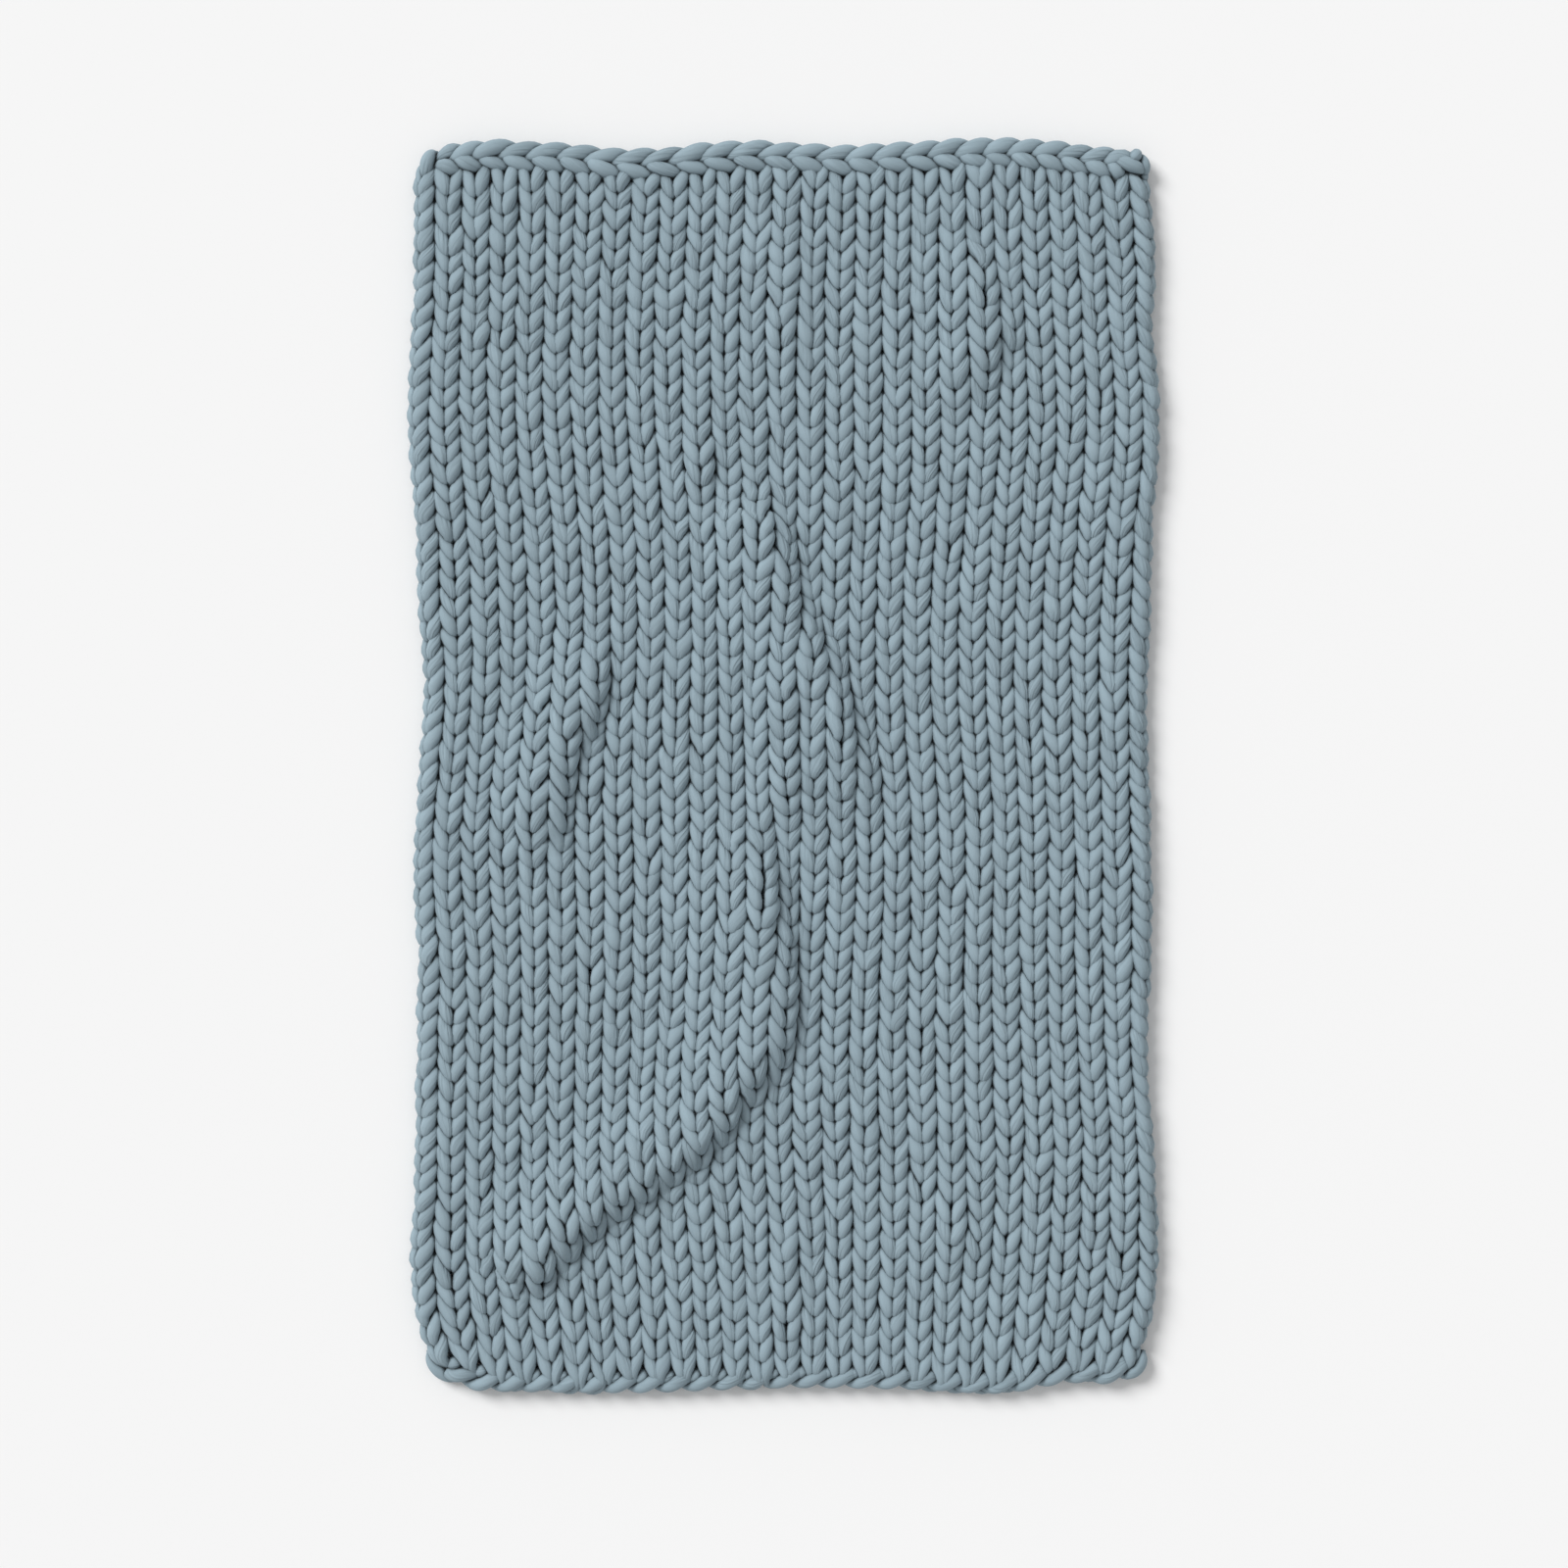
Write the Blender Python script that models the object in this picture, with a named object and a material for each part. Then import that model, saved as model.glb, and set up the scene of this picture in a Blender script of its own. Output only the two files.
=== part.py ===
"""A chunky hand-knit weighted blanket, lying flat with its soft folds.

The blanket is one continuous yarn: a plain-knit field of 27 wales (columns of
stitches), a chained bind-off along the top edge and a rolled cast-on edge along
the bottom. It is one closed sheet, as thick as the knit, with its wavy outline,
its folds, the two leg columns of every wale raised as ribs and both finished
edges raised as beads. Metres, +Z up, +Y towards the bind-off edge, origin on
the floor under the middle of the sheet.
"""

import math

import bmesh
import bpy
import numpy as np

# ---------------------------------------------------------------- dimensions
NAME = "knit_blanket"
LENGTH = 1.765  # over both finished edges
WIDTH = 1.058  # over the widest rows
WALES = 27
LEGS = 2 * WALES  # each wale shows two leg columns, the two arms of its V stitches
KNIT_THICKNESS = 0.034  # two yarns deep
RIB_RELIEF = 0.0065  # crest of a leg column over the groove beside it
SWAY = 0.0015  # how far the fabric swells and dips between its folds

BIND_OFF_DEPTH = 0.045  # the chain along the top edge, across its two strands
BIND_OFF_RISE = 0.003  # how far the chain stands over the knit
CAST_ON_DEPTH = 0.026  # the rolled edge along the bottom
CAST_ON_DROP = 0.008  # how far that edge lies below the knit
SCALLOP = 0.006  # how far each chain link swells past the hollow beside it

EDGE_HEIGHT = 0.015  # height of the widest line of the rounded edge
EDGE_TUCK = 0.008  # how far the underside stays inside that line
EDGE_ROLL = 0.030  # width of the strip that rounds down to the edge
TOP_RADIUS = 0.044  # corners of the bind-off edge
BOTTOM_LEFT_RADIUS = 0.110
BOTTOM_RIGHT_RADIUS = 0.080

LIFT_CLEARANCE = 0.012  # a fold lower than this keeps its underside on the floor
ROW_STEP = 0.049  # spacing of the point rows down the field
# Rows of points round the bottom corners, by how far they lie above that edge.
CORNER_ROWS = (0.052, CAST_ON_DEPTH, 0.013, 0.005, 0.0)
UNDER_COLUMNS = WALES
UNDER_ROWS = 24

# Where the two long edges run, from the bind-off edge down.
SIDE_EDGES = [
    # (y, left x, right x)
    (0.882, -0.507, 0.509),
    (0.817, -0.517, 0.514),
    (0.714, -0.518, 0.524),
    (0.610, -0.522, 0.519),
    (0.527, -0.528, 0.528),
    (0.437, -0.526, 0.529),
    (0.333, -0.515, 0.518),
    (0.230, -0.514, 0.517),
    (0.126, -0.503, 0.511),
    (-0.012, -0.511, 0.513),
    (-0.151, -0.519, 0.518),
    (-0.254, -0.512, 0.517),
    (-0.427, -0.515, 0.512),
    (-0.531, -0.515, 0.521),
    (-0.739, -0.525, 0.527),
    (-0.882, -0.522, 0.521),
]

# Where the two short edges run, from left to right.
TOP_EDGE = [
    # (x, y)
    (-0.50, 0.869),
    (-0.44, 0.879),
    (-0.33, 0.878),
    (-0.22, 0.869),
    (-0.05, 0.880),
    (0.11, 0.874),
    (0.20, 0.880),
    (0.35, 0.8825),
    (0.44, 0.872),
    (0.50, 0.868),
]
BOTTOM_EDGE = [
    # (x, y)
    (-0.50, -0.879),
    (-0.33, -0.881),
    (-0.22, -0.882),
    (0.02, -0.875),
    (0.20, -0.878),
    (0.31, -0.8825),
    (0.41, -0.868),
    (0.50, -0.874),
]

# Each fold is a ridge along its crest, listed from its upper end down. It falls
# steeply on the side that faces +X and gently on the other.
FOLDS = {
    # name: (height, steep width, gentle width, lengths of its upper and lower ends,
    #        crest points (x, y))
    "main_lower": (
        0.031, 0.052, 0.150, (0.15, 0.135),
        [(-0.042, -0.040), (-0.042, -0.120), (-0.032, -0.205), (-0.020, -0.290),
         (-0.016, -0.350), (-0.030, -0.395), (-0.062, -0.438), (-0.108, -0.505)],
    ),
    "main_foot": (
        0.029, 0.038, 0.120, (0.135, 0.09),
        [(-0.030, -0.395), (-0.062, -0.438), (-0.108, -0.505), (-0.165, -0.555),
         (-0.232, -0.597), (-0.300, -0.648), (-0.377, -0.720)],
    ),
    "main_upper": (
        0.029, 0.046, 0.120, (0.10, 0.16),
        [(-0.040, 0.410), (-0.030, 0.333), (-0.016, 0.278), (-0.002, 0.223),
         (0.024, 0.167), (0.053, 0.112), (0.076, 0.043), (0.094, -0.026),
         (0.099, -0.110)],
    ),
    "middle_crease": (
        0.015, 0.028, 0.060, (0.08, 0.12),
        [(-0.004, 0.155), (0.001, 0.060), (0.003, -0.026), (-0.022, -0.120)],
    ),
    "left": (
        0.023, 0.034, 0.100, (0.08, 0.10),
        [(-0.260, 0.190), (-0.264, 0.150), (-0.277, 0.090), (-0.302, 0.040),
         (-0.320, -0.010), (-0.329, -0.070), (-0.335, -0.150)],
    ),
    "upper_right_dimple": (
        0.020, 0.054, 0.090, (0.10, 0.12),
        [(0.240, 0.755), (0.252, 0.697), (0.272, 0.650), (0.285, 0.606),
         (0.270, 0.570), (0.243, 0.530), (0.205, 0.480)],
    ),
    "lower_right": (
        0.014, 0.042, 0.070, (0.10, 0.10),
        [(0.222, -0.570), (0.240, -0.640), (0.262, -0.730)],
    ),
    "upper_middle": (
        0.010, 0.036, 0.060, (0.12, 0.12),
        [(0.000, 0.790), (0.006, 0.700), (0.008, 0.600), (0.002, 0.500)],
    ),
    "lower_middle": (
        0.009, 0.036, 0.060, (0.12, 0.10),
        [(0.008, -0.580), (0.012, -0.700), (0.014, -0.850)],
    ),
    "small_upper": (
        0.010, 0.030, 0.050, (0.07, 0.08),
        [(-0.118, 0.500), (-0.115, 0.430), (-0.110, 0.340)],
    ),
}
CREST_SAMPLES = 60


# ---------------------------------------------------------------- curves
def smooth_through(stations, values, at):
    """Reads, at the given places, a smooth curve through the listed values."""
    stations = np.asarray(stations, float)
    values = np.asarray(values, float)
    slope = np.gradient(values, stations)
    at = np.clip(at, stations[0], stations[-1])
    k = np.clip(np.searchsorted(stations, at) - 1, 0, len(stations) - 2)
    span = stations[k + 1] - stations[k]
    t = (at - stations[k]) / span
    start = (1 + 2 * t) * (1 - t) ** 2 * values[k]
    start += t * (1 - t) ** 2 * span * slope[k]
    end = t**2 * (3 - 2 * t) * values[k + 1]
    end -= t**2 * (1 - t) * span * slope[k + 1]
    return start + end


def ease(t):
    """Rises smoothly from 0 to 1 as t does."""
    t = np.clip(t, 0, 1)
    return t * t * (3 - 2 * t)


def corner_inset(distance, radius):
    """How far a rounded corner draws the long edge in, near a short edge."""
    inside = np.clip(distance, 0, radius)
    return radius - np.sqrt(radius**2 - (radius - inside) ** 2)


# ---------------------------------------------------------------- outline
def short_edge(table, x):
    xs, ys = zip(*table)
    return smooth_through(xs, ys, x)


def long_edges(y):
    """Left and right x of the outline at height y, corners included."""
    ys, left, right = zip(*reversed(SIDE_EDGES))
    half = LENGTH / 2
    top = corner_inset(half - y, TOP_RADIUS)
    left = smooth_through(ys, left, y) + top
    right = smooth_through(ys, right, y) - top
    left = left + corner_inset(y + half, BOTTOM_LEFT_RADIUS)
    right = right - corner_inset(y + half, BOTTOM_RIGHT_RADIUS)
    return left, right


# ---------------------------------------------------------------- folds
def crest_line(points):
    """The crest as a smooth run of closely spaced points, with their run along it."""
    points = np.array(points)
    listed = np.linspace(0, 1, len(points))
    at = np.linspace(0, 1, CREST_SAMPLES)
    x = smooth_through(listed, points[:, 0], at)
    y = smooth_through(listed, points[:, 1], at)
    steps = np.hypot(np.diff(x), np.diff(y))
    run = np.concatenate([[0], np.cumsum(steps)])
    return run, np.stack([x, y], axis=1)


def fold_height(x, y):
    """Height that the folds lift the fabric by, at each place of the sheet."""
    place = np.stack([np.ravel(x), np.ravel(y)], axis=1)
    total = np.zeros(len(place))
    for height, steep, gentle, (upper, lower), points in FOLDS.values():
        run, crest = crest_line(points)
        away = place[:, None, :] - crest[None, :, :]
        distance = np.hypot(away[:, :, 0], away[:, :, 1])
        near = distance.argmin(axis=1)
        heading = np.gradient(crest, axis=0)[near]
        offset = away[np.arange(len(place)), near]
        side = heading[:, 0] * offset[:, 1] - heading[:, 1] * offset[:, 0]
        width = np.where(side > 0, steep, gentle)
        across = np.clip(distance.min(axis=1) / width, 0, 1)
        rise = ease(run[near] / upper) * ease((run[-1] - run[near]) / lower)
        total += height * rise * (1 + np.cos(np.pi * across)) / 2
    return total.reshape(np.shape(x))


def sway(x, y):
    """The slight swell and dip of the fabric between its folds."""
    return SWAY * (np.sin(9.0 * x + 2.0) * np.sin(7.0 * y) + np.sin(5.0 * x - 8.0 * y))


def under_height(x, y):
    """The underside: on the floor, except where a fold lifts it."""
    return np.maximum(fold_height(x, y) - LIFT_CLEARANCE, 0)


# ---------------------------------------------------------------- surface
def chain_relief(along, depth):
    """Height of the bind-off chain over the fabric: two strands of slanting links."""
    strand_depths = (0.30, 0.74)  # shares of the chain's depth
    strand_half = 0.25
    slants = (-0.5, 0.5)  # links lean one way in one strand, the other in the next
    share = depth / BIND_OFF_DEPTH
    relief = -RIB_RELIEF
    for centre, slant in zip(strand_depths, slants):
        across = (share - centre) / strand_half
        if abs(across) < 1:
            link = (along * WALES + slant * across) % 1
            swell = 0.35 + 0.65 * math.sin(math.pi * link)
            relief += (RIB_RELIEF + BIND_OFF_RISE) * swell * math.cos(across * math.pi / 2)
    return relief


def row_depths():
    """How far each row of points lies below the top edge, in metres, on average."""
    chain = [0.0, 0.10, 0.30, 0.52, 0.74, 0.90, 1.0]  # shares of the chain's depth
    rows = [share * BIND_OFF_DEPTH for share in chain]
    field_end = LENGTH - CORNER_ROWS[0]
    steps = math.ceil((field_end - BIND_OFF_DEPTH) / ROW_STEP)
    for i in range(1, steps):
        rows.append(BIND_OFF_DEPTH + (field_end - BIND_OFF_DEPTH) * i / steps)
    return rows + [LENGTH - above for above in CORNER_ROWS]


def row_line(depth, columns):
    """Places of one row's points: even along the fabric, so closer on a slope."""
    fine = np.linspace(-WIDTH / 2, WIDTH / 2, 8 * LEGS + 1)
    share = depth / LENGTH
    top = short_edge(TOP_EDGE, fine)
    y_fine = top + (short_edge(BOTTOM_EDGE, fine) - top) * share
    left, right = long_edges(float(y_fine.mean()))
    x_fine = left + (right - left) * np.linspace(0, 1, len(fine))
    z_fine = fold_height(x_fine, y_fine)
    run = np.hypot(np.diff(x_fine), np.diff(z_fine))
    run = np.concatenate([[0], np.cumsum(run)])
    x = np.interp(np.linspace(0, run[-1], columns + 1), run, x_fine)
    y = np.interp(x, x_fine, y_fine)
    return x, y


def top_row(depth):
    """One row of the upper side, from the left edge to the right one."""
    x, y = row_line(depth, 2 * LEGS)
    along = np.linspace(0, 1, len(x))
    crest = np.arange(len(x)) % 2  # odd points lie on leg columns, even ones between
    z = KNIT_THICKNESS + fold_height(x, y) + sway(x, y)
    if depth < BIND_OFF_DEPTH:
        z += [chain_relief(a, depth) for a in along]
    elif depth > LENGTH - CAST_ON_DEPTH:
        z -= CAST_ON_DROP
    else:
        z -= RIB_RELIEF * (1 - crest)
    # the edges round down to the widest line
    nearest = np.minimum(along, 1 - along) * WIDTH
    down = np.minimum(depth, LENGTH - depth)
    for distance in (nearest, np.full(len(x), down)):
        roll = np.sqrt(1 - (1 - np.clip(distance / EDGE_ROLL, 0, 1)) ** 2)
        z = EDGE_HEIGHT + (z - EDGE_HEIGHT) * roll
    if depth == 0:  # the chain's links show as scallops along the top edge
        y = y - SCALLOP * (1 - np.abs(np.sin(np.pi * along * WALES)))
    return np.stack([x, y, z], axis=1)


def under_row(share):
    """One row of the underside, tucked in from the outline."""
    depth = EDGE_TUCK + (LENGTH - 2 * EDGE_TUCK) * share
    x, y = row_line(depth, UNDER_COLUMNS)
    x = x * (1 - 2 * EDGE_TUCK / WIDTH)
    z = under_height(x, y)
    nearest = np.minimum(x - x[0], x[-1] - x)
    z = z * ease(nearest / EDGE_ROLL)
    return np.stack([x, y, z], axis=1)


# ---------------------------------------------------------------- solid
def add_grid(bm, rows):
    """Adds a grid of points, moved to the given rows, and returns its border edges."""
    rows = np.array(rows)
    made = bmesh.ops.create_grid(
        bm, x_segments=rows.shape[1] - 1, y_segments=rows.shape[0] - 1, size=0.5
    )
    points = made["verts"]
    for vert in points:
        column = round((vert.co.x + 0.5) * (rows.shape[1] - 1))
        row = round((0.5 - vert.co.y) * (rows.shape[0] - 1))
        vert.co = rows[row, column]
    edges = {edge for vert in points for edge in vert.link_edges}
    return [edge for edge in edges if edge.is_boundary]


def blanket_mesh():
    bm = bmesh.new()
    upper = add_grid(bm, [top_row(depth) for depth in row_depths()])
    shares = np.linspace(0, 1, UNDER_ROWS + 1)
    under = add_grid(bm, [under_row(share) for share in shares])
    bmesh.ops.bridge_loops(bm, edges=upper + under)
    bmesh.ops.triangulate(bm, faces=bm.faces[:])
    bmesh.ops.recalc_face_normals(bm, faces=bm.faces[:])
    mesh = bpy.data.meshes.new(NAME)
    bm.to_mesh(mesh)
    bm.free()
    return mesh


def yarn_material():
    """Dusty blue cotton jersey yarn."""
    material = bpy.data.materials.new("jersey_yarn")
    material.use_nodes = True
    shader = material.node_tree.nodes["Principled BSDF"]
    shader.inputs["Base Color"].default_value = (0.26, 0.37, 0.42, 1)
    shader.inputs["Roughness"].default_value = 0.85
    shader.inputs["Metallic"].default_value = 0
    return material


def main():
    for old in list(bpy.data.objects):
        bpy.data.objects.remove(old, do_unlink=True)
    collection = bpy.data.collections.new("weighted_blanket")
    bpy.context.scene.collection.children.link(collection)
    blanket = bpy.data.objects.new(NAME, blanket_mesh())
    blanket.data.materials.append(yarn_material())
    blanket.data.shade_smooth()
    collection.objects.link(blanket)


main()
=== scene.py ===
"""The looks of the chunky hand-knit weighted blanket, yarn by yarn.

One fat jersey yarn runs through every stitch. Its loops are worked out in fabric
coordinates (wales across, courses up, height over the fabric's middle plane) and
then laid on the folded sheet. Its outline and folds are those of the CAD solid,
but for the lowest fold, which runs a little further here. The field is made in
bands of courses, and the chained bind-off and the cast-on rope follow the short
edges. Metres, +Z up, +Y towards the bind-off edge.
"""

import math

import bpy
import numpy as np
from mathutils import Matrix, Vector


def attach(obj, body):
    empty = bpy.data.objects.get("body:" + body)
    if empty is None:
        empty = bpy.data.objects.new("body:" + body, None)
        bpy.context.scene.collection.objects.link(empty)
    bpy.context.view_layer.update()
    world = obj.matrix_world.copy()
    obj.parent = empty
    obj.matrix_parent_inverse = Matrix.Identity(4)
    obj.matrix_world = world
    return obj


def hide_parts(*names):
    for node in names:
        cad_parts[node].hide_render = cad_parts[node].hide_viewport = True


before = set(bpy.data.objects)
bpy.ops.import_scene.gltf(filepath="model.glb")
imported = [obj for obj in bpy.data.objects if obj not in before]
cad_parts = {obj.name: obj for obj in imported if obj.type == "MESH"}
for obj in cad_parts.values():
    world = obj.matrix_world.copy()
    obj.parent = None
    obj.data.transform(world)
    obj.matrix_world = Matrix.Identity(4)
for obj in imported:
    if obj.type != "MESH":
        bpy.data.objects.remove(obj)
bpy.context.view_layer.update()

# ---------------------------------------------------------------- dimensions
NODE = "knit_blanket"
LENGTH = 1.765  # over both finished edges
WIDTH = 1.058  # over the widest rows
WALES = 27
COURSES = 62
BANDS = 5  # pieces that the field is made in, each some courses high
FIELD_TOP = 0.037  # from the top outline to the upper end of the last course
FIELD_BOTTOM = 0.026  # from the bottom outline to the lower end of the first course
TOP_RADII = (0.044, 0.044)  # left and right corner of the bind-off edge
BOTTOM_RADII = (0.110, 0.080)
CORNER_LIFT = 0.020  # how far the first course rises at either end, round the corner
CORNER_PULL = (0.015, 0.018)  # how far its ends draw in, on the left and on the right
CORNER_COURSES = 4  # courses over which the draw fades out
MIDDLE_HEIGHT = 0.0180  # middle plane of the knit over the floor, where it lies flat

# One stitch, in wales and courses.
NECK_PINCH = 0.255  # how far a loop's legs lean in at its foot and out at its head
LOOP_REACH = 1.12  # from a loop's middle to its head, so that it hooks into the next
LOOP_DEPTH = 0.0102  # how far its legs stand in front of the middle plane
LEG_FLAT = 0.0030  # how much of that the legs lose by lying flat
LEG_TIP = 0.0085  # how far a leg tips forwards at its foot and back at its head

# The yarn's half width and half thickness, at the leg, the neck and the back.
FIELD_YARN = {
    # part of the loop: (half width, half thickness)
    "leg": (0.0100, 0.0092),
    "neck": (0.0060, 0.0058),
    "back": (0.0085, 0.0070),
}
THICK_SWELL = 0.6  # how much of a leg's swelling goes into its thickness too
TURN_OUT = 0.01224  # how far the yarn stands out where it turns into the next course
TURN_RINGS = 7
RINGS = 26  # rings of points round the yarn, in each stitch
SIDES = 10  # points in each ring

# The long edges curl down and under. Insets are from the outline, in wale widths.
RIM = [
    # (wales in, left inset, right inset, drop below the middle plane, tilt in degrees)
    (0.00, 0.50, 0.48, 0.0100, 100),
    (0.25, 0.40, 0.39, 0.0080, 80),
    (0.50, 0.43, 0.36, 0.0030, 45),
    (0.75, 0.52, 0.42, 0.0000, 12),
    (1.00, 0.77, 0.67, 0.0000, 0),
]
RIM_END = 1.0  # wales over which the edge curls
LEFT_HIDDEN = RIM_END - RIM[-1][1]
RIGHT_HIDDEN = RIM_END - RIM[-1][2]
SHOWN_WALES = WALES - LEFT_HIDDEN - RIGHT_HIDDEN

# The bind-off chain, whose loops open towards the right.
LINKS = 26
LINK_PLACES = [
    # (link, x where it starts)
    (-1, -0.508),
    (0, -0.484),
    (2, -0.426),
    (4, -0.348),
    (22, 0.359),
    (25, 0.459),
    (26, 0.487),
    (27, 0.510),
]
CHAIN_INSET = 0.0250  # from the outline to the line between its two rows
CHAIN_REACH = 0.95  # from a loop's middle to its head, in links
CHAIN_STEP = (1.6, 0.4)  # weights that make the yarn move on at a loop's foot
CHAIN_SPREAD = 0.0094  # from the line between the rows to the middle of either
CHAIN_SPLAY = 1.4  # how much wider a loop is at its head than at its foot
CHAIN_MIDDLE = 0.0190  # height of its middle plane
CHAIN_DEPTH = 0.0090  # how far its legs stand over that plane
CHAIN_TIP = 0.0070  # how far its legs tip forwards at the foot and back at the head
CHAIN_RINGS = 30  # in each link
CHAIN_START = 4  # the first ring, so that the first foot is tucked under the corner
CHAIN_TUCK = (6, 0.55, 0.012)  # its first rings: how many, how slim, and how low
CHAIN_YARN = {
    # part of the loop: (half width, half thickness)
    "leg": (0.0112, 0.0098),
    "neck": (0.0080, 0.0074),
    "back": (0.0085, 0.0075),
}

# The cast-on rope: two strands round each other, and the feet of the first course.
ROPE_ENDS = (-0.470, 0.482)  # x
ROPE_PITCH = 0.0766  # length of one turn
ROPE_INSET = 0.0165  # from the outline to its axis
ROPE_RADIUS = 0.0078  # from its axis to a strand's middle
ROPE_MIDDLE = 0.0168  # height of its axis
ROPE_YARN = (0.0100, 0.0094)
ROPE_RINGS = 30  # in each turn
FEET_FROM = 0.8  # wales from either edge
FEET_COURSE = (-0.10, 0.10)  # middle and swing, in courses
FEET_HEIGHT = (-0.0025, 0.0065)  # middle and swing, from the middle plane
FEET_YARN = (0.0078, 0.0012)  # half width and its swing
FEET_FLAT = 0.95  # thickness as a share of the width
FEET_RINGS = 14  # in each wale

# ---------------------------------------------------------------- the lie of the cloth
SIDE_EDGES = [
    # (y, left x, right x)
    (0.882, -0.507, 0.509),
    (0.817, -0.517, 0.514),
    (0.714, -0.518, 0.524),
    (0.610, -0.522, 0.519),
    (0.527, -0.528, 0.528),
    (0.437, -0.526, 0.529),
    (0.333, -0.515, 0.518),
    (0.230, -0.514, 0.517),
    (0.126, -0.503, 0.511),
    (-0.012, -0.511, 0.513),
    (-0.151, -0.519, 0.518),
    (-0.254, -0.512, 0.517),
    (-0.427, -0.515, 0.512),
    (-0.531, -0.515, 0.521),
    (-0.739, -0.525, 0.527),
    (-0.882, -0.522, 0.521),
]
TOP_EDGE = [
    # (x, y)
    (-0.50, 0.869),
    (-0.44, 0.879),
    (-0.33, 0.878),
    (-0.22, 0.869),
    (-0.05, 0.880),
    (0.11, 0.874),
    (0.20, 0.880),
    (0.35, 0.8825),
    (0.44, 0.872),
    (0.50, 0.868),
]
BOTTOM_EDGE = [
    # (x, y)
    (-0.50, -0.879),
    (-0.33, -0.881),
    (-0.22, -0.882),
    (0.02, -0.875),
    (0.20, -0.878),
    (0.31, -0.8825),
    (0.41, -0.868),
    (0.50, -0.874),
]

# Each fold is a ridge along its crest, listed from its upper end down. It falls
# steeply on the side that faces +X and gently on the other.
FOLDS = {
    # name: (height, steep width, gentle width, lengths of its upper and lower ends,
    #        crest points (x, y))
    "main_lower": (
        0.031, 0.052, 0.150, (0.15, 0.135),
        [(-0.042, -0.040), (-0.042, -0.120), (-0.032, -0.205), (-0.020, -0.290),
         (-0.016, -0.350), (-0.030, -0.395), (-0.062, -0.438), (-0.108, -0.505)],
    ),
    "main_foot": (
        0.029, 0.038, 0.120, (0.135, 0.06),
        [(-0.030, -0.395), (-0.062, -0.438), (-0.108, -0.505), (-0.165, -0.555),
         (-0.232, -0.597), (-0.300, -0.648), (-0.388, -0.745)],
    ),
    "main_upper": (
        0.029, 0.046, 0.120, (0.10, 0.16),
        [(-0.040, 0.410), (-0.030, 0.333), (-0.016, 0.278), (-0.002, 0.223),
         (0.024, 0.167), (0.053, 0.112), (0.076, 0.043), (0.094, -0.026),
         (0.099, -0.110)],
    ),
    "middle_crease": (
        0.015, 0.028, 0.060, (0.08, 0.12),
        [(-0.004, 0.155), (0.001, 0.060), (0.003, -0.026), (-0.022, -0.120)],
    ),
    "left": (
        0.023, 0.034, 0.100, (0.08, 0.10),
        [(-0.260, 0.190), (-0.264, 0.150), (-0.277, 0.090), (-0.302, 0.040),
         (-0.320, -0.010), (-0.329, -0.070), (-0.335, -0.150)],
    ),
    "upper_right_dimple": (
        0.020, 0.054, 0.090, (0.10, 0.12),
        [(0.240, 0.755), (0.252, 0.697), (0.272, 0.650), (0.285, 0.606),
         (0.270, 0.570), (0.243, 0.530), (0.205, 0.480)],
    ),
    "lower_right": (
        0.014, 0.042, 0.070, (0.10, 0.10),
        [(0.222, -0.570), (0.240, -0.640), (0.262, -0.730)],
    ),
    "upper_middle": (
        0.010, 0.036, 0.060, (0.12, 0.12),
        [(0.000, 0.790), (0.006, 0.700), (0.008, 0.600), (0.002, 0.500)],
    ),
    "lower_middle": (
        0.009, 0.036, 0.060, (0.12, 0.10),
        [(0.008, -0.580), (0.012, -0.700), (0.014, -0.850)],
    ),
    "small_upper": (
        0.010, 0.030, 0.050, (0.07, 0.08),
        [(-0.118, 0.500), (-0.115, 0.430), (-0.110, 0.340)],
    ),
}
CREST_SAMPLES = 60
NORMAL_STEP = 0.010  # evens the slope of the cloth out over a stitch's breadth

# How the course and wale lines wander: slow waves over the fabric.
WANDER_ACROSS = [
    # (size in wales, turn a course, turn a wale, start), the turns in radians
    (0.11, 0.17, 0.22, 0.0),
    (0.07, 0.33, -0.16, 1.7),
]
WANDER_ALONG = [
    # (size in courses, turn a course, turn a wale, start), the turns in radians
    (0.13, 0.13, 0.83, 0.6),
    (0.09, -0.21, 1.90, 0.0),
]
WANDER_RIM = 2  # wales beside the edges where the wale lines wander less

# ---------------------------------------------------------------- randomness
SEED = 27
VARY = {
    # what varies from leg to leg: standard deviation
    "width": 0.050,  # share of the yarn's width
    "across": 0.028,  # wales
    "along": 0.060,  # courses
    "height": 0.0009,
    "lean": 0.026,  # added to NECK_PINCH
    "reach": 0.025,  # added to LOOP_REACH
}
FAT_LEGS = 0.07  # share of legs that swell
FAT_BY = 0.18  # share of the yarn's width that they swell by
CHAIN_VARY = {
    # what varies from leg to leg in the chain: standard deviation
    "along": 0.030,  # links
    "across": 0.0006,
    "height": 0.0008,
    "width": 0.05,  # share of the yarn's width
}


# ---------------------------------------------------------------- curves
def smooth_through(stations, values, at):
    """Reads, at the given places, a smooth curve through the listed values."""
    stations = np.asarray(stations, float)
    values = np.asarray(values, float)
    slope = np.gradient(values, stations)
    at = np.clip(at, stations[0], stations[-1])
    k = np.clip(np.searchsorted(stations, at) - 1, 0, len(stations) - 2)
    span = stations[k + 1] - stations[k]
    t = (at - stations[k]) / span
    start = (1 + 2 * t) * (1 - t) ** 2 * values[k]
    start += t * (1 - t) ** 2 * span * slope[k]
    end = t**2 * (3 - 2 * t) * values[k + 1]
    end -= t**2 * (1 - t) * span * slope[k + 1]
    return start + end


def ease(t):
    """Rises smoothly from 0 to 1 as t does."""
    t = np.clip(t, 0, 1)
    return t * t * (3 - 2 * t)


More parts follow.
